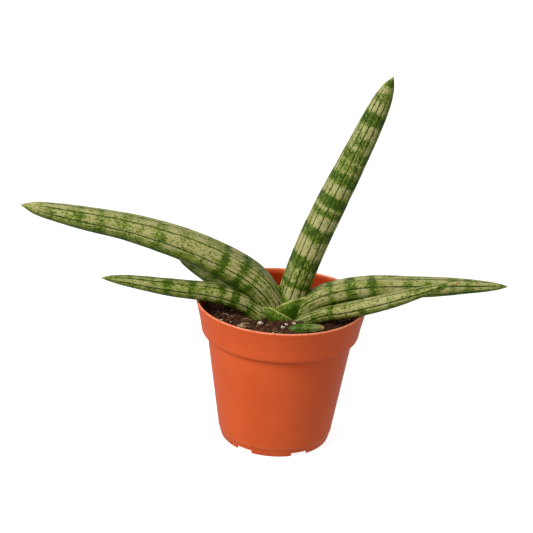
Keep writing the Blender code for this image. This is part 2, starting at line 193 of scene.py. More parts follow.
# Sheaths: how the bases of the outer leaves wrap round the front of the inner ones. Each is given
# by its free edge: (direction about the plant's middle, height) from one end to the other.
SHEATHS = {
    "leaf_left_upper":
        ((-165, 96), (-130, 101), (-112, 102.5), (-99, 101.7), (-79, 98), (-58, 93.5), (-40, 89)),
    "leaf_right_upper":
        ((-6, 95.5), (-30, 95.2), (-55, 94), (-75, 92.5), (-95, 90.7), (-117, 88.5), (-150, 83)),
    "leaf_left_lower":
        ((-172, 87), (-136, 89.4), (-120, 89.3), (-102, 87.2), (-81, 85.7), (-63, 83.5), (-48, 81)),
}
SHEATH_FOOT_Z = 75
SHEATH_THICKNESS = 1.1
SHEATH_EDGE = 0.35
SHEATH_COLUMNS = 110
SHEATH_ROWS = 40
SHEATH_CORE = 2.5
SKIN_SHARE = 0.86
RING_SPACING = 0.75
LEAF_SIDES = 128
SPACE_RINGS = 40
SPACE_SIDES = 48
NOSE_RINGS = 4
BAND_EDGE = 2.1
MARGIN_WIDTH = 0.75
LINE_DEPTH = 0.16
LINE_WIDTH = 0.85


def linear(*colour):
    """An sRGB colour, 0 to 255, as the linear colour that shaders take."""
    shares = [value / 255 for value in colour]
    return (*[s / 12.92 if s <= 0.04045 else ((s + 0.055) / 1.055) ** 2.4 for s in shares], 1)


class Paint:
    """A material with one Principled shader, and short ways to add nodes to it."""

    def __init__(self, name, roughness, specular):
        self.material = bpy.data.materials.new(name)
        self.material.use_nodes = True
        self.nodes = self.material.node_tree.nodes
        self.links = self.material.node_tree.links
        self.shader = self.nodes["Principled BSDF"]
        self.shader.inputs["Roughness"].default_value = roughness
        self.shader.inputs["Specular IOR Level"].default_value = specular

    def add(self, kind, inputs=(), **settings):
        node = self.nodes.new(kind)
        for name, value in settings.items():
            setattr(node, name, value)
        for name, value in dict(inputs).items():
            if isinstance(value, bpy.types.NodeSocket):
                self.links.new(value, node.inputs[name])
            else:
                node.inputs[name].default_value = value
        return node

    def attribute(self, name, output="Fac"):
        return self.add("ShaderNodeAttribute", attribute_name=name).outputs[output]

    def place(self):
        return self.add("ShaderNodeTexCoord").outputs["Object"]

    def math(self, operation, first, second=0):
        return self.add("ShaderNodeMath", {0: first, 1: second}, operation=operation).outputs[0]

    def times(self, first, second):
        return self.math("MULTIPLY", first, second)

    def less(self, first, second):
        return self.math("SUBTRACT", first, second)

    def weighed(self, *pairs):
        """The sum of the values, each times its weight."""
        total = self.times(*pairs[0])
        for value, weight in pairs[1:]:
            total = self.math("ADD", total, self.times(value, weight))
        return total

    def blend(self, share, first, second, mode="MIX"):
        inputs = {0: share, 6: first, 7: second}
        return self.add("ShaderNodeMix", inputs, data_type="RGBA", blend_type=mode).outputs[2]

    def layered(self, colour, *layers):
        """The colour under others, each given as (how much of it shows, colour)."""
        for share, over in layers:
            colour = self.blend(share, colour, over)
        return colour

    def ramp(self, value, low, high, to_low=0, to_high=1):
        inputs = {0: value, 1: low, 2: high, 3: to_low, 4: to_high}
        return self.add("ShaderNodeMapRange", inputs, interpolation_type="SMOOTHSTEP").outputs[0]

    def stretched(self, place, along):
        """Coordinates squeezed along Z, so that what a noise draws is that many times longer."""
        return self.add("ShaderNodeMapping", {0: place, 3: (1, 1, 1 / along)}).outputs[0]

    def noise(self, place, scale, detail, roughness):
        inputs = {"Vector": place, "Scale": scale, "Detail": detail, "Roughness": roughness}
        return self.add("ShaderNodeTexNoise", inputs).outputs[0]

    def finish(self, colour, roughness, height, distance, strength):
        """Links the colour, the roughness and a bump to the shader."""
        self.links.new(colour, self.shader.inputs["Base Color"])
        self.links.new(roughness, self.shader.inputs["Roughness"])
        bump = self.add("ShaderNodeBump", {"Strength": strength, "Distance": distance, "Height": height})
        self.links.new(bump.outputs[0], self.shader.inputs["Normal"])
        return self.material


def leaf_paint(name, colours, line_strength=1):
    """The skin of a leaf. Its coordinates are millimetres on the leaf pulled straight."""
    paint = Paint(name, 0.5, 0.13)
    blend, ramp, times, less = paint.blend, paint.ramp, paint.times, paint.less
    attribute, weighed = paint.attribute, paint.weighed
    tone = {key: linear(*colour) for key, colour in colours.items()}
    place = attribute("straight", "Vector")

    def speckle(along, scale, detail, roughness):
        return paint.noise(paint.stretched(place, along), scale, detail, roughness)

    def from_line(turns, half_widths):
        """How far a point is from the nearest of the lines, in half widths of the line."""
        away = paint.math("ABSOLUTE", less(paint.math("FRACT", turns), 0.5))
        return paint.math("DIVIDE", away, half_widths)

    specks = speckle(1.6, 1.15, 2, 0.7)
    blots = speckle(1.3, 0.50, 3, 0.6)
    dashes = speckle(7, 1.7, 2, 0.5)
    clouds = speckle(1.5, 0.16, 3, 0.6)
    pores = speckle(1.4, 2.6, 2, 0.6)
    wobble = speckle(4, 0.30, 2, 0.5)

    # under is 1 on the lower side of a leaf. There it paints shade: the ground turns greener and darker, the
    # dark blots grow and the darker under colour lies over the pale ground.
    under, streak = attribute("under"), attribute("streak")
    mottle, band = attribute("mottle"), attribute("band")
    drift = less(clouds, 0.5)
    grit = less(weighed((specks, 1.05), (blots, 0.41), (dashes, 0.24)), 0.35)
    level = weighed((mottle, 0.62), (band, 1.45), (under, 0.75), (drift, 2))
    green = ramp(weighed((grit, 1), (level, 0.32)), 0.60, 0.69)
    haze = ramp(weighed((pores, 0.8), (specks, 0.2), (level, 0.22)), 0.50, 0.66)
    dark = weighed((band, 0.34), (drift, 0.30), (under, 0.10), (grit, 0.85), (mottle, 0.08))
    dark = ramp(dark, 0.57, 0.66)
    streaks = times(ramp(dashes, 0.50, 0.60), streak)

    line_map = paint.add("ShaderNodeUVMap", uv_map="lines").outputs[0]
    across = paint.add("ShaderNodeSeparateXYZ", {0: line_map}).outputs[0]
    turn = weighed((across, 1), (less(wobble, 0.5), 0.12))
    half = times(attribute("line_half"), ramp(blots, 0.3, 0.7, 0.75, 1.3))
    line = ramp(from_line(turn, half), 0.7, 1.3, 1, 0)
    line = times(line, attribute("line"))
    fine = ramp(from_line(times(turn, 3), times(half, 1.9)), 0.6, 1.4, 1, 0)
    fine = times(fine, ramp(dashes, 0.32, 0.46))
    line = paint.math("MAXIMUM", line, times(fine, streak))

    pale = paint.layered(
        tone["pale"],
        (ramp(clouds, 0.35, 0.65), tone["pale_warm"]),
        (ramp(pores, 0.48, 0.70, 0, 0.5), tone["pale_light"]),
        (times(under, 0.5), tone["under"]),
        (times(streaks, 0.6), tone["streak"]),
    )
    leafy = blend(ramp(pores, 0.35, 0.65), tone["green"], tone["green_warm"])
    deep = blend(ramp(blots, 0.4, 0.6), tone["dark"], tone["darkest"])
    light = ramp(weighed((mottle, 0.8), (clouds, 0.8)), 0.45, 1.15)
    smooth = blend(light, tone["sheath"], tone["sheath_light"])
    smooth = blend(ramp(dashes, 0.42, 0.60, 0, 0.8), smooth, tone["sheath_dark"])
    share = less(weighed((attribute("sheath"), 1), (dashes, 1.8)), 0.9)
    dried = attribute("dry")
    dry = blend(ramp(pores, 0.4, 0.6, 0, 0.6), tone["dry"], tone["dry_dark"])
    dry = blend(ramp(dried, 1.4, 1.9), dry, tone["dry_dark"])
    colour = paint.layered(
        pale,
        (times(haze, 0.7), tone["haze"]),
        (times(green, 0.92), leafy),
        (times(dark, 0.95), deep),
        (times(line, 0.92 * line_strength), tone["line"]),
        (ramp(share, 0.35, 0.75), smooth),
        (attribute("margin"), tone["margin"]),
        (paint.math("MINIMUM", dried, 1), dry),
    )
    roughness = ramp(grit, 0.25, 0.75, 0.44, 0.58)
    height = weighed((specks, 0.8), (blots, 0.6), (pores, 0.3), (line, -0.6))
    return paint.finish(colour, roughness, height, 0.00016, 0.8)


LEAF_COLOURS = {
    "pale": (166, 162, 108),
    "pale_warm": (176, 163, 110),
    "pale_light": (188, 182, 134),
    "haze": (122, 134, 54),
    "green": (92, 114, 24),
    "green_warm": (108, 122, 36),
    "dark": (60, 88, 6),
    "darkest": (42, 66, 3),
    "line": (36, 60, 4),
    # The under colour is painted shade on the lower side of a leaf.
    "under": (136, 142, 56),
    "streak": (126, 116, 62),
    "sheath": (58, 88, 6),
    "sheath_light": (106, 130, 36),
    "sheath_dark": (38, 64, 4),
    "margin": (184, 182, 104),
    "dry": (204, 164, 112),
    "dry_dark": (84, 58, 38),
}
YOUNG_COLOURS = {
    **LEAF_COLOURS,
    "pale": (132, 144, 78),
    "pale_warm": (136, 140, 76),
    "pale_light": (190, 190, 146),
    "haze": (78, 104, 24),
    "green": (56, 90, 8),
    "green_warm": (70, 100, 16),
    "dark": (42, 74, 5),
    "darkest": (28, 54, 3),
    # The under colour is painted shade on the lower side of the young leaf.
    "under": (64, 92, 14),
}


def pot_paint():
    """Moulded terracotta-coloured plastic: almost even, with faint flow marks, dust and scuffs, painted
    shade on the inner wall and a painted highlight along the lip and the bottom crease.
    """
    paint = Paint("pot_plastic", 0.48, 0.14)
    place = paint.place()
    clouds = paint.noise(place, 28, 4, 0.6)
    grain = paint.noise(place, 1500, 3, 0.6)
    scuffs = paint.noise(paint.stretched(place, 0.25), 220, 3, 0.6)
    chips = paint.noise(place, 700, 3, 0.6)
    # Painted highlight: a lighter, broken line along the lip and, weaker, along the thin crease near the
    # bottom.
    lip_and_crease_highlight = paint.times(paint.attribute("lip"), paint.ramp(chips, 0.38, 0.60, 0.25, 0.9))
    colour = paint.layered(
        linear(206, 83, 36),
        (paint.ramp(clouds, 0.3, 0.7), linear(216, 91, 43)),
        (paint.ramp(grain, 0.52, 0.72, 0, 0.22), linear(226, 116, 68)),
        (paint.ramp(scuffs, 0.64, 0.76, 0, 0.18), linear(226, 134, 96)),
        # Painted shade: the inner wall is a deeper, darker red, standing in for the shade inside the pot and
        # for light shining through its wall.
        (paint.attribute("inside"), linear(156, 46, 7)),
        (lip_and_crease_highlight, linear(246, 158, 122)),
    )
    roughness = paint.ramp(clouds, 0.3, 0.7, 0.38, 0.48)
    height = paint.weighed((grain, 1), (scuffs, 1.2))
    return paint.finish(colour, roughness, height, 0.00005, 0.6)


def mix_paint(name, dark, light, fleck, fleck_from=0.66):
    """Damp crumbly organic matter: dark, with lighter crumbs and a few pale flecks."""
    paint = Paint(name, 0.9, 0.25)
    place = paint.place()
    crumbs = paint.noise(place, 900, 4, 0.65)
    patches = paint.noise(place, 240, 3, 0.6)
    shade = paint.blend(paint.ramp(patches, 0.35, 0.65), (0.6, 0.56, 0.53, 1), WHITE)
    colour = paint.blend(paint.ramp(crumbs, 0.42, 0.68), linear(*dark), linear(*light))
    colour = paint.blend(0.7, colour, shade, "MULTIPLY")
    colour = paint.blend(paint.ramp(crumbs, fleck_from, fleck_from + 0.05), colour, linear(*fleck))
    roughness = paint.ramp(patches, 0.3, 0.7, 0.75, 0.98)
    return paint.finish(colour, roughness, crumbs, 0.0006, 1)


def fibre_paint(name, dark, light, scale=1400):
    """Stringy plant matter, streaked by a stretched noise."""
    paint = Paint(name, 0.8, 0.3)
    place = paint.place()
    streaks = paint.noise(paint.stretched(place, 0.2), scale, 3, 0.6)
    patches = paint.noise(place, scale * 0.3, 2, 0.5)
    shade = paint.blend(paint.ramp(patches, 0.3, 0.7), (0.6, 0.56, 0.5, 1), WHITE)
    colour = paint.blend(paint.ramp(streaks, 0.35, 0.65), linear(*dark), linear(*light))
    colour = paint.blend(0.5, colour, shade, "MULTIPLY")
    roughness = paint.ramp(patches, 0.3, 0.7, 0.65, 0.95)
    return paint.finish(colour, roughness, streaks, 0.0003, 0.9)


def perlite_paint():
    """White expanded grains, pitted and a little stained."""
    paint = Paint("perlite", 0.9, 0.3)
    place = paint.place()
    pits = paint.noise(place, 2200, 2, 0.6)
    stains = paint.noise(place, 500, 3, 0.6)
    stained = paint.ramp(stains, 0.5, 0.72, 0, 0.55)
    colour = paint.blend(stained, linear(222, 211, 190), linear(166, 138, 106))
    colour = paint.blend(paint.ramp(pits, 0.3, 0.42, 0.5, 0), colour, linear(120, 104, 86))
    roughness = paint.ramp(stains, 0.3, 0.7, 0.8, 0.98)
    return paint.finish(colour, roughness, pits, 0.0003, 1)


def add_object(name, mesh, materials, sharp_angle=None):
    thing = bpy.data.objects.new(name, mesh)
    bpy.context.scene.collection.objects.link(thing)
    for material in materials:
        mesh.materials.append(material)
    mesh.shade_smooth()
    if sharp_angle is not None:
        mesh.set_sharp_from_angle(angle=math.radians(sharp_angle))
    return thing


def boolean(thing, operation, others):
    """Adds the others to the thing, or takes them out of it, for good."""
    for other in others:
        modifier = thing.modifiers.new(operation, "BOOLEAN")
        modifier.operation = operation
        modifier.solver = "MANIFOLD"
        modifier.object = other
    graph = bpy.context.evaluated_depsgraph_get()
    shape = thing.evaluated_get(graph)
    mesh = bpy.data.meshes.new_from_object(shape, preserve_all_data_layers=True, depsgraph=graph)
    thing.modifiers.clear()
    thing.data = mesh


def mesh_from(name, build):
    mesh = bpy.data.meshes.new(name)
    build.to_mesh(mesh)
    build.free()
    return mesh


def noise_at(x, y, z):
    return noise.noise(Vector((x, y, z)))


def smooth_step(value, low, high):
    share = np.clip((value - low) / (high - low), 0, 1)
    return share * share * (3 - 2 * share)


# Leaves


def smooth_value(stations, values, at):
    """Catmull-Rom through the values, held within each pair of neighbours, as in the CAD model."""
    i = 0
    while i < len(stations) - 2 and at > stations[i + 1]:
        i += 1
    span = stations[i + 1] - stations[i]
    t = (at - stations[i]) / span

    def slope(k):
        low, high = max(k - 1, 0), min(k + 1, len(stations) - 1)
        return (values[high] - values[low]) / (stations[high] - stations[low])

    rise = values[i] * (2 * t**3 - 3 * t**2 + 1) + values[i + 1] * (3 * t**2 - 2 * t**3)
    lean = slope(i) * span * (t**3 - 2 * t**2 + t) + slope(i + 1) * span * (t**3 - t**2)
    low, high = sorted((values[i], values[i + 1]))
    return min(max(rise + lean, low), high)


def between(values, at):
    """Values a fraction of the way along an evenly spaced list, in straight steps."""
    return np.interp(at, np.linspace(0, 1, len(values)), values)


def leaf_directions(leaf, at):
    rise = np.radians(between(leaf["rise"], at))
    heading = np.radians(between(leaf["heading"], at))
    flat = np.cos(rise)
    return np.stack([flat * np.cos(heading), flat * np.sin(heading), np.sin(rise)], -1)


def leaf_frames(leaf, at):
    """Unit vectors across the leaf: to its side, and to the upper face that has the channel."""
    heading = np.radians(between(leaf["heading"], at))
    side = np.stack([-np.sin(heading), np.cos(heading), np.zeros_like(heading)], -1)
    upper = np.cross(leaf_directions(leaf, at), side)
    upper[upper[:, 2] < 0] *= -1
    return side, upper


def leaf_centres(leaf, at):
    """Points on the centre line, in millimetres, from short steps along the leaf's direction."""
    steps = 400
    middles = (np.arange(steps) + 0.5) / steps
    moves = leaf_directions(leaf, middles) * (leaf["length"] / steps)
    track = np.vstack([[leaf["root"]], np.array(leaf["root"]) + np.cumsum(moves, 0)])
    knots = np.linspace(0, 1, steps + 1)
    return np.stack([np.interp(at, knots, track[:, k]) for k in range(3)], -1)


def leaf_rings(leaf, seed, grow=0, fine=True):
    """The rings of a leaf's loft: where each is along the leaf, and its points in millimetres."""
    count = round(leaf["length"] / RING_SPACING) if fine else SPACE_RINGS
    sides = LEAF_SIDES if fine else SPACE_SIDES
    at = np.linspace(0, 1, count)
    radius = np.array([smooth_value(LEAF_STATIONS, leaf["half_widths"], x) for x in at])
    centre = leaf_centres(leaf, at)
    side, upper = leaf_frames(leaf, at)
    tip = leaf_directions(leaf, at[-1:])[0]
    for i in range(1, NOSE_RINGS + 1):
        lean = 0.5 * math.pi * i / (NOSE_RINGS + 0.5)
        at = np.append(at, 1)
        centre = np.vstack([centre, centre[count - 1] + tip * radius[count - 1] * math.sin(lean)])
        radius = np.append(radius, radius[count - 1] * math.cos(lean))
        side, upper = np.vstack([side, side[-1]]), np.vstack([upper, upper[-1]])
    angle = 2 * np.pi * np.arange(sides) / sides
    depth = CHANNEL_DEPTH * (1 - 0.8 * at)[:, None] * radius[:, None] * np.maximum(0, np.cos(angle)) ** 5
    reach = radius[:, None] + grow + np.zeros_like(angle)
    if fine:
        reach = reach + leaf_relief(leaf, seed, at, radius, angle)
    across, above = reach * np.sin(angle), reach * np.cos(angle) - depth
    points = centre[:, None] + side[:, None] * across[..., None] + upper[:, None] * above[..., None]
    if grow:
        points[0] -= leaf_directions(leaf, at[:1])[0] * 1.5
        points[-1] += tip * grow
    return at, radius, angle, points


def line_turns(leaf, angle):
    """The section angle counted in dark lines, so that a whole number is on a line."""
    count, first = leaf["lines"]
    return (np.degrees(angle) - first) * count / 360


def leaf_relief(leaf, seed, at, radius, angle):
    """What the real skin adds to the smooth loft, in millimetres: furrows and slight waves."""
    turns = line_turns(leaf, angle)
    from_line = np.abs(turns - np.round(turns)) * 2 * np.pi / leaf["lines"][0]
    from_line = from_line[None, :] * radius[:, None]
    fade = smooth_step(at, 0.06, 0.2) * (1 - smooth_step(at, 0.93, 1))
    relief = -LINE_DEPTH * np.exp(-(from_line / LINE_WIDTH) ** 2) * fade[:, None]
    size = np.minimum(1, radius / 5)
    for i, place in enumerate(at):
        along = place * leaf["length"]
        for j, turn in enumerate(angle):
            x, y = math.cos(turn) * radius[i], math.sin(turn) * radius[i]
            wave = noise_at(x * 0.10 + seed * 9, y * 0.10, along * 0.045)
            ripple = noise_at(x * 0.35, y * 0.35 + seed * 5, along * 0.16)
            relief[i, j] += size[i] * (0.30 * wave + 0.10 * ripple)
    return relief


def band_strength(leaf, at):
    """How dark the cross-bands are along the leaf, with soft edges that the noise then frays."""
    strength = np.zeros_like(at)
    edge = BAND_EDGE / leaf["length"]
    for place, half, dark in leaf["bands"]:
        away = np.abs(at - place)
        strength = np.maximum(strength, dark * (1 - smooth_step(away, half - edge, half + edge)))
    return strength


def corner_owners(mesh):
    """The number of the vertex at each face corner."""
    owner = np.zeros(len(mesh.loops), np.int32)
    mesh.loops.foreach_get("vertex_index", owner)
    return owner


def store(mesh, values):
    """Keeps per-vertex values as per-corner attributes, which the Booleans carry over."""
    owner = corner_owners(mesh)
    for key, value in values.items():
        is_point = value.ndim == 3
        layer = mesh.attributes.new(key, "FLOAT_VECTOR" if is_point else "FLOAT", "CORNER")
        found = value.reshape(-1, 3)[owner] if is_point else value.ravel()[owner]
        layer.data.foreach_set("vector" if is_point else "value", found.astype(np.float32).ravel())


def store_map(mesh, key, across, along, further=0):
    """Keeps per-vertex places as a UV map. further is added to each corner's place across."""
    owner = corner_owners(mesh)
    places = np.stack([across.ravel()[owner] + further, along.ravel()[owner]], 1)
    layer = mesh.uv_layers.new(name=key, do_init=False)
    layer.uv.foreach_set("vector", places.astype(np.float32).ravel())


def loft_faces(rings, sides):
    """The quads between neighbouring rings of points, by the points' numbers."""
    at = np.arange(rings * sides).reshape(rings, sides)
    beside = np.roll(at, -1, 1)
    return np.stack([at[:-1], at[1:], beside[1:], beside[:-1]], -1).reshape(-1, 4).tolist()


def lofted(name, points, values, uvs):
    """A closed mesh through rings of points in millimetres, with per-corner values and UV maps.

    Each UV map is (across, along, how much one turn adds to across).
    """
    rings, sides = points.shape[:2]
    first_end = list(range(sides))
    last_end = list(range(rings * sides - 1, (rings - 1) * sides - 1, -1))
    mesh = bpy.data.meshes.new(name)
    corners = (points.reshape(-1, 3) * MM).tolist()
    mesh.from_pydata(corners, [], loft_faces(rings, sides) + [first_end, last_end])
    wraps = np.zeros(len(mesh.loops), bool)
    quads = wraps[:(rings - 1) * sides * 4].reshape(rings - 1, sides, 4)
    quads[:, -1, 2:] = True
    for key, (across, along, per_turn) in uvs.items():
        store_map(mesh, key, across, along, wraps * per_turn)
    store(mesh, values)
    return outward(mesh)


def outward(mesh):
    """Turns every face to the outside without a change to the order of corners in the file."""
    build = bmesh.new()
    build.from_mesh(mesh)
    bmesh.ops.recalc_face_normals(build, faces=build.faces)
    build.to_mesh(mesh)
    build.free()
    return mesh


def paint_values(leaf, seed, at, radius, angle, points):
    """What the leaf's material reads at each point of the loft."""

    def spread(values):
        """The values along the leaf, the same all round it."""
        return np.repeat(values[:, None], len(angle), 1)

    def share_left(end, before, after):
        """1 up to about a place along the leaf, and 0 beyond it or where the place is 0."""
        return (1 - smooth_step(at, before, after)) * (end > 0)

    along = at * leaf["length"]
    straight = np.zeros((len(at), len(angle), 3))
    straight[..., 0] = radius[:, None] * np.cos(angle) + 31 * seed
    straight[..., 1] = radius[:, None] * np.sin(angle) + 17 * seed
    straight[..., 2] = along[:, None] + 211 * seed
    band = spread(band_strength(leaf, at))
    for i in np.flatnonzero(band[:, 0] > 0):
        for j, turn in enumerate(angle):
            patch = noise_at(math.cos(turn) * 1.7, math.sin(turn) * 1.7, along[i] * 0.09 + 7 * seed)
            band[i, j] *= 1 + (0.35 if band[i, j] > 0.7 else 0.9) * patch
    # Painted shade: under rises on the downward-facing side of the leaf. The paint makes that side greener
    # and darker, and the bands are darker there too.
    up = points[..., 2] - points.mean(1)[:, None, 2]
    under = smooth_step(-up / np.maximum(radius, 0.5)[:, None], 0, 0.75)
    sheath, fine = leaf["sheath"], leaf["fine"]
    green_end = leaf["length"] - leaf["dry"]
    dry = smooth_step(along, green_end - 0.4, green_end + 0.8)
    dry += np.clip(np.arange(len(at)) - (len(at) - NOSE_RINGS - 1), 0, None) / NOSE_RINGS
    spacing = 2 * np.pi * np.maximum(radius, 0.3) / leaf["lines"][0]
    return {
        "straight": straight,
        "band": band * (0.75 + 0.5 * under),
        "mottle": spread(between(leaf["mottle"], at)),
        "dry": spread(dry),
        "sheath": spread(share_left(sheath, sheath - 0.05, sheath + 0.07)),
        "line": spread(smooth_step(at, sheath - 0.03, sheath + 0.05) * (1 - smooth_step(at, 0.9, 0.98))),
        "line_half": spread(0.5 * LINE_WIDTH / spacing),
        "margin": np.zeros(under.shape),
        "under": under,
        "streak": spread(share_left(fine, 0.5 * fine, fine + 0.001)),
    }


def softened(grid, times):
    """The grid with each value averaged with its neighbours, several times."""
    for _ in range(times):
        wide = np.pad(grid, 1, mode="edge")
        grid = (wide[:-2, 1:-1] + wide[2:, 1:-1] + wide[1:-1, :-2] + wide[1:-1, 2:] + 2 * grid) / 6
    return grid


def reach_of(trees, turns, heights):
    """How far from the plant's axis the outermost surface lies, by direction and height."""
    far = 60
    reach = np.full(heights.shape, SHEATH_CORE)
    for i, turn in enumerate(turns):
        out = Vector((math.cos(turn), math.sin(turn), 0))
        for j, height in enumerate(heights[i]):
            start = out * far + Vector((0, 0, float(height)))
            for tree in trees:
                distance = tree.ray_cast(start, -out, far)[3]
                if distance is not None:
                    reach[i, j] = max(reach[i, j], far - distance)
    return reach


def sheath_grid(name, inner, own):
    """A sheath's outer face as (directions, heights, reach), laid over the leaves inside it."""
    corners = SHEATHS[name]
    first, last = corners[0][0], corners[-1][0]
    turns = np.linspace(first, last, SHEATH_COLUMNS)
    order = sorted(corners)
    top = np.interp(turns, [c[0] for c in order], [c[1] for c in order])
    top = softened(np.repeat(top[:, None], 3, 1), 12)[:, 1]
    turns = np.radians(turns)
    shares = np.linspace(0, 1, SHEATH_ROWS)
    heights = SHEATH_FOOT_Z + (top - SHEATH_FOOT_Z)[:, None] * shares
    below = top[:, None] - heights
    covered = reach_of(inner, turns, heights)
    body = np.minimum(reach_of([own], turns, heights), covered + 3)
    reach = np.maximum(covered, body - SHEATH_THICKNESS)
    reach = np.maximum(covered, softened(np.maximum(reach, softened(reach, 20)), 8))
    thickness = SHEATH_EDGE + (SHEATH_THICKNESS - SHEATH_EDGE) * smooth_step(below, 0, 5)
    return turns, heights, below, reach + thickness + GAP


def sheath_mesh(name, grid, seed, green, grow=0):
    """The sheath as a closed wedge from the plant's axis to its outer face."""
    turns, heights, below, reach = grid
    columns, rows = heights.shape

    def wall(away):
        return np.stack([away * np.cos(turns)[:, None], away * np.sin(turns)[:, None], heights], -1)

    points = np.stack([wall(reach + grow), wall(np.full(heights.shape, 0.5 * SHEATH_CORE))])
    points[:, :, -1, 2] += grow
    at = np.arange(2 * columns * rows).reshape(2, columns, rows)
    faces = []

    def strip(first, second):
        for k in range(len(first) - 1):
            faces.append((first[k], first[k + 1], second[k + 1], second[k]))

    for i in range(columns - 1):
        for side in (0, 1):
            strip(at[side, i], at[side, i + 1])
    strip(at[0, :, 0], at[1, :, 0])
    strip(at[0, :, -1], at[1, :, -1])
    strip(at[0, 0], at[1, 0])
    strip(at[0, -1], at[1, -1])
    mesh = bpy.data.meshes.new(name)
    mesh.from_pydata((points.reshape(-1, 3) * MM).tolist(), [], np.array(faces).tolist())
    shape = points.shape[:3]
    none = np.zeros(shape)
    across = none + np.linspace(0.01, 0.99, columns)[:, None]
    along = none + SKIN_SHARE + 0.01 + (0.98 - SKIN_SHARE) * np.linspace(0, 1, rows)
    values = {
        "straight": (points + np.array([13, 5, 90]) * seed).reshape(1, -1, 3),
        "band": none,
        "mottle": none + 1 - smooth_step(below, 0.5, 7),
        "dry": none,
        "sheath": none + green,
        "line": none,
        "line_half": none + 0.05,
        "margin": none + 1 - smooth_step(below, 0.45 * MARGIN_WIDTH, MARGIN_WIDTH),
        "under": none,
        "streak": none + 1,
    }
    store_map(mesh, "OFBake", across, along)
    store_map(mesh, "lines", across, along)
    store(mesh, {key: value if key == "straight" else value.reshape(1, -1) for key, value in values.items()})
    return outward(mesh)


def largest_part(thing):
    """Deletes loose crumbs that the Booleans leave, and keeps the biggest body."""
    build = bmesh.new()
    build.from_mesh(thing.data)
    left, parts = set(build.verts), []
    while left:
        found, stack = set(), [left.pop()]
        while stack:
            vertex = stack.pop()
            if vertex not in found:
                found.add(vertex)
                stack += [edge.other_vert(vertex) for edge in vertex.link_edges]
        left -= found
        parts.append(found)
    loose = set(build.verts) - max(parts, key=len)
    bmesh.ops.delete(build, geom=list(loose), context="VERTS")
    build.to_mesh(thing.data)
    build.free()


def build_leaves():
    mature = leaf_paint("leaf_skin", LEAF_COLOURS)
    young = leaf_paint("young_leaf_skin", YOUNG_COLOURS, 0.5)
    inner, cutters = [], []
    for seed, (name, leaf) in enumerate(LEAVES.items(), 1):
        at, radius, angle, points = leaf_rings(leaf, seed)
        is_young = name == "leaf_young"
        values = paint_values(leaf, seed, at, radius, angle, points)
        turns = np.repeat(line_turns(leaf, angle)[None, :] + 0.5, len(at), 0)
        share = SKIN_SHARE if name in SHEATHS else 0.998
        along = np.repeat(np.linspace(0.002, share, len(at))[:, None], len(angle), 1)
        across = np.repeat((angle / (2 * np.pi))[None, :], len(at), 0)
        uvs = {"OFBake": (across, along, 1), "lines": (turns, along, leaf["lines"][0])}
        skin = lofted(name + "_skin", points, values, uvs)
        piece = add_object(name + "_skin", skin, [young if is_young else mature])
        own = BVHTree.FromPolygons(points.reshape(-1, 3).tolist(), loft_faces(*points.shape[:2]))
        grown = leaf_rings(leaf, seed, GAP, fine=False)[3]
        spaces = [add_object(name + "_space", lofted(name + "_space", grown, {}, {}), [])]
        if name in SHEATHS:
            grid = sheath_grid(name, inner, own)
            green = min(1, 10 * leaf["sheath"])
            flap = add_object(name + "_flap", sheath_mesh(name + "_flap", grid, seed, green), [mature])
            boolean(piece, "UNION", [flap])
            bpy.data.objects.remove(flap)
            space = sheath_mesh(name + "_flap_space", grid, seed, green, GAP)
            spaces.append(add_object(name + "_flap_space", space, []))
            corners = [vertex.co / MM for vertex in space.vertices]
            inner.append(BVHTree.FromPolygons(corners, [tuple(face.vertices) for face in space.polygons]))
        if not is_young and cutters:
            boolean(piece, "DIFFERENCE", cutters)
            largest_part(piece)
        piece.data.shade_smooth()
        piece.data.set_sharp_from_angle(angle=math.radians(50))
        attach(piece, "root")
        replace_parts(piece, name)
        inner.append(own)
        for space in spaces:
            space.hide_render = True
        cutters += spaces
    for cutter in cutters:
        bpy.data.objects.remove(cutter)


# Pot


def arc(centre, radius, start, end, count):
    """Points on an arc in the (radius, height) plane, from one angle to the other in degrees."""
    angles = [math.radians(start + (end - start) * i / count) for i in range(count + 1)]
    return [(centre[0] + radius * math.cos(a), centre[1] + radius * math.sin(a)) for a in angles]


def beside(radius, z, *steps):
    """Points at (outward, upward) steps from a point of the profile."""
    return [(radius + out, z + up) for out, up in steps]


def pot_inside():
    """The inner wall from the middle of the floor up to the lip."""
    disc_top = [(0, DISC_THICKNESS), (DISC_RADIUS, DISC_THICKNESS), (DISC_RADIUS + 3, FLOOR_TOP_Z)]
    corner = arc((CREASE_RADIUS - WALL - 2.5, FLOOR_TOP_Z + 2.5), 2.5, -90, 0, 6)
    body_top = [(BODY_TOP_RADIUS - WALL, COLLAR_FOOT_Z - 0.3)]
    collar = beside(COLLAR_FOOT_RADIUS - WALL, COLLAR_FOOT_Z, (0, 1.6), (1, 6))
    return disc_top + corner + body_top + collar


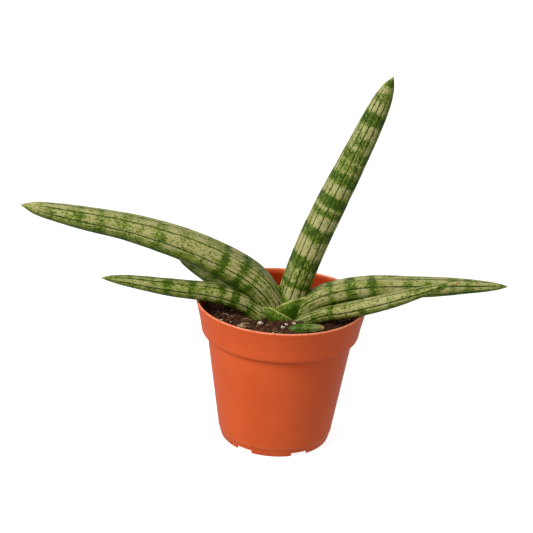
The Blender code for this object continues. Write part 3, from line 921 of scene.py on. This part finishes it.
def pot_outside():
    """Over the lip and down the outside to the middle of the underside."""
    lip = beside(RIM_RADIUS, POT_HEIGHT, (-WALL - 0.4, -0.9), (-WALL - 0.1, -0.35), (-WALL + 0.25, -0.08),
                 (-0.7, 0), (-0.3, -0.12), (-0.05, -0.5), (0, -1), (-0.15, -1.5), (-0.35, -2.1))
    collar = beside(COLLAR_FOOT_RADIUS, COLLAR_FOOT_Z, (1.3, 7.5), (0.4, 2), (0.15, 1), (-0.15, 0.35),
                    (-0.7, 0))
    body_top = beside(BODY_TOP_RADIUS, COLLAR_FOOT_Z, (0.5, -0.1), (0.1, -0.3), (0, -0.8))
    crease = beside(CREASE_RADIUS, CREASE_Z, (0.12, 0.9), (0.05, 0.2), (-0.2, -0.15), (-0.5, -0.5))
    foot = beside(FOOT_RADIUS, 0, (0.5, CREASE_Z * 0.4), (0.1, 0.9), (-0.1, 0.3), (-0.4, 0),
                  (-WALL, 0), (-WALL, CHANNEL_Z))
    disc = [(DISC_RADIUS + 3.6, CHANNEL_Z), (DISC_RADIUS + 0.6, 0), (0, 0)]
    return lip + collar + body_top + crease + foot + disc


def divided(profile, longest):
    """The profile with points added, so that no step is longer than that many millimetres."""
    points = [profile[0]]
    for (r0, z0), (r1, z1) in zip(profile, profile[1:]):
        parts = max(1, math.ceil(math.hypot(r1 - r0, z1 - z0) / longest))
        points += [(r0 + (r1 - r0) * i / parts, z0 + (z1 - z0) * i / parts) for i in range(1, parts + 1)]
    return points


def turned(name, profile, steps, bend):
    """A closed mesh of (radius, height) points turned about Z. bend moves each point off the axis."""
    build = bmesh.new()
    rings = []
    for radius, z in profile:
        turns = [2 * math.pi * i / steps for i in range(steps if radius else 1)]
        points = [Vector((radius * math.cos(turn), radius * math.sin(turn), z)) for turn in turns]
        rings.append([build.verts.new((bend(point) if radius else point) * MM) for point in points])
    for low, high in zip(rings, rings[1:]):
        for i in range(steps):
            j = (i + 1) % steps
            corners = (low[i % len(low)], low[j % len(low)], high[j % len(high)], high[i % len(high)])
            build.faces.new(list(dict.fromkeys(corners)))
    bmesh.ops.recalc_face_normals(build, faces=build.faces)
    return mesh_from(name, build)


def pot_bend(point):
    """The slight unevenness of a thin moulded pot: a wavy lip and a body that isn't quite round."""
    flat = Vector((point.x, point.y, 0))
    if flat.length < 1:
        return point
    out = flat.normalized()
    height = smooth_step(point.z, 60, POT_HEIGHT)
    wave = noise.noise(out * 1.6 + Vector((3, 8, 0)))
    nick = noise.noise(out * 9 + Vector((1, 2, point.z * 0.02)))
    at_lip = smooth_step(point.z, POT_HEIGHT - 2.4, POT_HEIGHT - 0.4)
    moved = point + out * float(0.25 * wave * height + 0.10 * nick * at_lip)
    moved.z += at_lip * (0.18 * wave + 0.16 * nick)
    return moved


def box_at(name, size, centre, angle, round_to=0.4):
    """A rounded box of the size in millimetres, its centre given at angle 0, turned about Z."""
    box = bmesh.new()
    bmesh.ops.create_cube(box, size=1)
    bmesh.ops.scale(box, vec=Vector(size) * MM, verts=box.verts)
    bmesh.ops.bevel(box, geom=box.edges[:], offset=round_to * MM, segments=3, affect="EDGES", profile=0.5)
    bmesh.ops.translate(box, vec=Vector(centre) * MM, verts=box.verts)
    turn = Matrix.Rotation(math.radians(angle), 3, "Z")
    bmesh.ops.rotate(box, cent=(0, 0, 0), matrix=turn, verts=box.verts)
    return add_object(name, mesh_from(name, box), [])


def build_pot():
    profile = divided(pot_inside() + pot_outside(), 3)
    mesh = turned("pot_shell", profile, POT_STEPS, pot_bend)
    points = np.array([vertex.co for vertex in mesh.vertices]) / MM
    outer = sorted((z, radius) for radius, z in pot_outside())
    wall = np.interp(points[:, 2], [z for z, _ in outer], [radius for _, radius in outer])
    depth = wall - np.hypot(points[:, 0], points[:, 1])
    above_floor = smooth_step(points[:, 2], 1, 3)
    on_crease = (np.abs(points[:, 2] - CREASE_Z - 0.2) < 0.1) & (depth < 0.3)
    store(mesh, {
        # inside marks the inner wall, which the paint turns a darker red as painted shade.
        "inside": smooth_step(depth, 0.6, 1) * above_floor * (1 - smooth_step(points[:, 2], 89.6, 90.6)),
        # lip is where the paint lays its painted highlight: fully on the lip, 0.4 of it on the crease.
        "lip": smooth_step(points[:, 2], POT_HEIGHT - 0.95, POT_HEIGHT - 0.35) + 0.4 * on_crease,
    })
    pot = add_object("pot_shell", mesh, [pot_paint()])
    tools = []
    for i in range(DRAIN_COUNT):
        angle = DRAIN_FIRST_ANGLE + i * 360 / DRAIN_COUNT
        tools.append(box_at(f"notch_{i}", (10, DRAIN_WIDTH, 4), (FOOT_RADIUS, 0, 0.45), angle))
        tools.append(box_at(f"hole_{i}", (4.5, DRAIN_WIDTH - 2, 6), (28.5, 0, 3), angle))
    for i in range(SLOT_COUNT):
        angle = SLOT_FIRST_ANGLE + i * 360 / SLOT_COUNT
        tools.append(box_at(f"slot_{i}", (6, SLOT_WIDTH, 2), (FOOT_RADIUS, 0, 1.4), angle, 0.2))
    boolean(pot, "DIFFERENCE", tools)
    for tool in tools:
        bpy.data.objects.remove(tool)
    pot.data.shade_smooth()
    pot.data.set_sharp_from_angle(angle=math.radians(38))
    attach(pot, "root")
    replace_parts(pot, "pot")


# Potting mix


def soil_height(radius):
    """The height of the potting mix, from a low edge to a slight mound at the middle."""
    share = min(1, radius / SOIL_EDGE_RADIUS)
    return SOIL_CENTRE_Z + (SOIL_EDGE_Z - SOIL_CENTRE_Z) * share * share


def soil_lift(x, y):
    """How far the crumbly surface stands above the smooth mound at a point, in millimetres."""
    clods = noise.fractal(Vector((x * 0.16, y * 0.16, 4)), 1, 2, 3)
    cells = noise.voronoi(Vector((x * 0.42, y * 0.42, 1)))[0]
    crumbs = max(0, 0.55 - cells[0]) * 1.6
    fine = noise_at(x * 1.3, y * 1.3, 9)
    return 0.9 * clods + crumbs + 0.3 * fine - 0.25


def soil_top(x, y):
    return soil_height(math.hypot(x, y)) + soil_lift(x, y)


def soil_bend(point):
    """Lifts the surface into crumbs, and leaves the sides and the bottom smooth."""
    radius = math.hypot(point.x, point.y)
    if point.z < SOIL_EDGE_Z - 0.5 or radius > SOIL_EDGE_RADIUS + 0.1:
        return point
    fade = 1 - 0.5 * smooth_step(radius, SOIL_EDGE_RADIUS - 0.8, SOIL_EDGE_RADIUS)
    return Vector((point.x, point.y, point.z + fade * soil_lift(point.x, point.y)))


def soil_profile():
    surface = [(0, SOIL_CENTRE_Z)]
    surface += [(r, soil_height(r)) for r in np.linspace(0.6, SOIL_EDGE_RADIUS, 90).tolist()]
    wall = [(radius - 0.35, z + 0.35) for radius, z in reversed(pot_inside()[1:])]
    return surface + wall + [(0, DISC_THICKNESS + 0.35)]


def grain(build, at, size, seed, flatness=0.8, rough=0.45, subdivisions=2, turn=0, stretch=1, slot=0):
    """Adds an irregular grain about the size across to a bmesh, its middle at a point."""
    made = bmesh.ops.create_icosphere(build, subdivisions=subdivisions, radius=1)["verts"]
    spin = Matrix.Rotation(turn, 3, "Z") @ Matrix.Rotation(0.6 * math.sin(seed * 1.7), 3, "X")
    for vertex in made:
        push = 1 + rough * noise.noise(vertex.co * 1.4 + Vector((seed * 7.1, seed * 3.3, 0)))
        push += 0.3 * rough * noise.noise(vertex.co * 4 + Vector((seed * 1.1, seed * 2.3, 5)))
        shaped = vertex.co * push * size
        shaped.x *= stretch
        shaped.z *= flatness
        vertex.co = (spin @ shaped + Vector(at)) * MM
    for face in {face for vertex in made for face in vertex.link_faces}:
        face.material_index = slot
        face.smooth = True


def free_spot(pick, margin):
    """A random point on the mix, that far in from its edge, that isn't under a leaf's base."""
    while True:
        radius = (SOIL_EDGE_RADIUS - margin) * math.sqrt(pick.random())
        turn = 2 * math.pi * pick.random()
        x, y = radius * math.cos(turn), radius * math.sin(turn)
        if all(math.hypot(x - cx, y - cy) > wide for cx, cy, wide in PLANT_CLEARANCE):
            return x, y


def tube(build, points, radius):
    """Adds a thin closed tube through points in millimetres to a bmesh, thinner at its ends."""
    count = len(points)
    spokes = [(math.cos(0.4 * math.pi * k), math.sin(0.4 * math.pi * k)) for k in range(5)]
    corners = []
    for i, point in enumerate(points):
        ahead = points[min(i + 1, count - 1)] - points[max(i - 1, 0)]
        across = ahead.cross(UP).normalized()
        above = across.cross(ahead).normalized()
        thick = radius * (0.5 + 0.5 * math.sin(math.pi * (i + 0.5) / count))
        corners += [build.verts.new((point + (across * c + above * s) * thick) * MM) for c, s in spokes]
    made = [build.faces.new([corners[k] for k in face]) for face in loft_faces(count, 5)]
    made += [build.faces.new(corners[:5]), build.faces.new(corners[-5:])]
    bmesh.ops.recalc_face_normals(build, faces=made)


def strand(x, y, heading, bend, count):
    """The points of a bent fibre that lies on the mix, one for each step along it."""
    step = 0.8
    points = []
    for i in range(count):
        arch = 0.45 + 0.35 * math.sin(math.pi * i / (count - 1))
        points.append(Vector((x, y, soil_top(x, y) + arch)))
        x, y = x + step * math.cos(heading), y + step * math.sin(heading)
        heading += bend * math.sin(1.3 * i)
    return points


def curl(start, end, wide, lift):
    """The points of one fibre of the bark curl, part of the way round a flattened circle."""
    x, y = BARK_CURL_AT
    points = []
    for i in range(22):
        turn = math.radians(start + (end - start) * i / 21)
        reach = BARK_CURL_RADIUS * (wide + 0.12 * math.sin(3.1 * turn + 5 * lift))
        at = (x + 1.5 * reach * math.cos(turn), y + reach * math.sin(turn))
        points.append(Vector((*at, soil_top(*at) + lift + 0.4 * math.sin(1.7 * turn))))
    return points


def loose_piece(name, build, materials):
    piece = add_object(name, mesh_from(name, build), materials, 50)
    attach(piece, "root")
    return piece


def build_mix():
    mix = mix_paint("potting_mix", (48, 28, 16), (112, 68, 40), (166, 118, 76))
    bark = mix_paint("bark_chips", (76, 44, 26), (146, 98, 62), (184, 144, 104), 0.62)
    fibre = fibre_paint("bark_fibre", (164, 136, 92), (226, 206, 162))
    white = perlite_paint()
    bed = turned("potting_mix_bed", soil_profile(), 320, soil_bend)
    soil = add_object("potting_mix_bed", bed, [mix])
    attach(soil, "root")
    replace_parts(soil, "potting_mix")
    pick = random.Random(11)

    def spots(count, margin):
        """Random free points on the mix, each with its number."""
        for i in range(count):
            yield i, *free_spot(pick, margin)

    crumbs = bmesh.new()
    for i, x, y in spots(CRUMB_COUNT, 0.8):
        size = 0.4 + 0.9 * pick.random() ** 2
        grain(crumbs, (x, y, soil_top(x, y) + 0.2 * size), size, i, 0.8, 0.8, 1 if size < 0.7 else 2,
              pick.random() * 6.3, 1 + 0.5 * pick.random(), int(pick.random() < 0.3))
    for i in range(WALL_CRUMB_COUNT):
        turn, height = pick.uniform(-0.2, 2 * math.pi - 0.2), SOIL_EDGE_Z + 8 * pick.random() ** 1.6
        radius = SOIL_EDGE_RADIUS - 0.1 + 0.196 * (height - SOIL_EDGE_Z)
        size = 0.2 + 0.35 * pick.random()
        grain(crumbs, (radius * math.cos(turn), radius * math.sin(turn), height), size, i + 7, 1, 0.7, 1)
    loose_piece("potting_mix_crumbs", crumbs, [mix, bark])

    chips = bmesh.new()
    for i, x, y in spots(CHIP_COUNT, 2.2):
        size = 0.7 + 1.1 * pick.random() ** 2
        grain(chips, (x, y, soil_top(x, y) + 0.25), size, i + 50, 0.30, 0.7, 2, pick.random() * 6.3,
              1.3 + 0.9 * pick.random())
    loose_piece("potting_mix_bark", chips, [bark])

    strands = bmesh.new()
    for i, x, y in spots(FIBRE_COUNT, 6):
        heading, bend = pick.random() * 6.3, pick.uniform(-0.5, 0.5)
        tube(strands, strand(x, y, heading, bend, round(pick.uniform(5, 11))), 0.10 + 0.12 * pick.random())
    loose_piece("bark_fibres", strands, [fibre])
    curls = bmesh.new()
    for start, end, wide, lift, radius in ((40, 295, 1, 1, 0.28), (70, 250, 0.72, 1.2, 0.18),
                                           (15, 200, 0.9, 1.5, 0.16), (150, 330, 0.55, 1.1, 0.20)):
        tube(curls, curl(start, end, wide, lift), radius)
    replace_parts(loose_piece("bark_curl_fibres", curls, [fibre]), "bark_curl")

    perlite = bmesh.new()
    for x, y, size, seed in PERLITE:
        at = (x, y, soil_height(math.hypot(x, y)) + 0.4 * size)
        grain(perlite, at, 0.8 * size, seed, 0.8, 0.8, 4, seed * 1.3, 1.15)
        for i in range(3):
            turn = seed + 2.1 * i
            near = (x + 1.3 * size * math.cos(turn), y + 1.3 * size * math.sin(turn), at[2] + 0.1 * size)
            grain(perlite, near, 0.32 * size, seed * 5 + i, 0.8, 0.8, 3, turn)
    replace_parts(loose_piece("perlite_grains", perlite, [white]),
                *[f"perlite_{i + 1}" for i in range(len(PERLITE))])
    dust = bmesh.new()
    for i, x, y in spots(DUST_COUNT, 1):
        size = 0.2 + 0.3 * pick.random() ** 2
        grain(dust, (x, y, soil_top(x, y) + 0.3), size, i + 90, 0.8, 0.9, 2)
    loose_piece("perlite_dust", dust, [white])


def paint_cad_nodes():
    """Gives the CAD nodes that stay their own materials."""
    skin = fibre_paint("rhizome_skin", (150, 96, 44), (206, 150, 84), 900)
    for name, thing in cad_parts.items():
        if thing.hide_render:
            continue
        for slot in thing.material_slots:
            slot.material = skin
        if not thing.material_slots:
            thing.data.materials.append(skin)


# Studio


def placed(name, data, at, aim):
    """Adds a light or a camera that stands at one point and looks at another, in metres."""
    thing = bpy.data.objects.new(name, data)
    thing.location = at
    thing.rotation_euler = (Vector(aim) - Vector(at)).to_track_quat("-Z", "Y").to_euler()
    bpy.context.scene.collection.objects.link(thing)
    return thing


def build_sky():
    """A sky that lights the plant softly, and is seen as white as the floor where it shows above it."""
    world = bpy.data.worlds.new("studio")
    world.use_nodes = True
    nodes, links = world.node_tree.nodes, world.node_tree.links
    background = nodes["Background"]
    background.inputs["Color"].default_value = WHITE
    ray = nodes.new("ShaderNodeLightPath")
    strength = nodes.new("ShaderNodeMapRange")
    strength.inputs["To Min"].default_value = SKY_LIGHT
    strength.inputs["To Max"].default_value = SKY_SEEN
    links.new(ray.outputs["Is Camera Ray"], strength.inputs["Value"])
    links.new(strength.outputs["Result"], background.inputs["Strength"])
    bpy.context.scene.world = world


def build_floor():
    mesh = bpy.data.meshes.new("floor")
    corners = [(x * FLOOR_REACH, y * FLOOR_REACH, 0) for x, y in ((-1, -1), (1, -1), (1, 1), (-1, 1))]
    mesh.from_pydata(corners, [], [(0, 1, 2, 3)])
    paint = Paint("floor_paint", 0.9, 0)
    paint.shader.inputs["Base Color"].default_value = (FLOOR_GREY, FLOOR_GREY, FLOOR_GREY, 1)
    paint.shader.inputs["Emission Color"].default_value = WHITE
    paint.shader.inputs["Emission Strength"].default_value = FLOOR_GLOW
    floor = add_object("floor", mesh, [paint.material])
    floor.visible_diffuse = False
    floor.visible_glossy = False


def build_studio():
    scene = bpy.context.scene
    scene.view_settings.view_transform = "Standard"
    build_sky()
    build_floor()
    for name, (at, size, power) in LIGHTS.items():
        light = bpy.data.lights.new(name, "AREA")
        light.shape = "DISK"
        light.size = size
        light.energy = power
        placed(name, light, at, LIGHT_AIM)
    camera = bpy.data.cameras.new("camera")
    camera.lens = CAMERA_LENS
    camera.sensor_width = 36
    camera.clip_start, camera.clip_end = 0.05, 50
    thing = placed("camera", camera, Vector(CAMERA_AT) * MM, Vector(CAMERA_AIM) * MM)
    thing.rotation_euler.rotate_axis("Z", math.radians(CAMERA_ROLL))
    scene.camera = thing


build_studio()
build_pot()
build_leaves()
build_mix()
paint_cad_nodes()

bpy.context.view_layer.update()
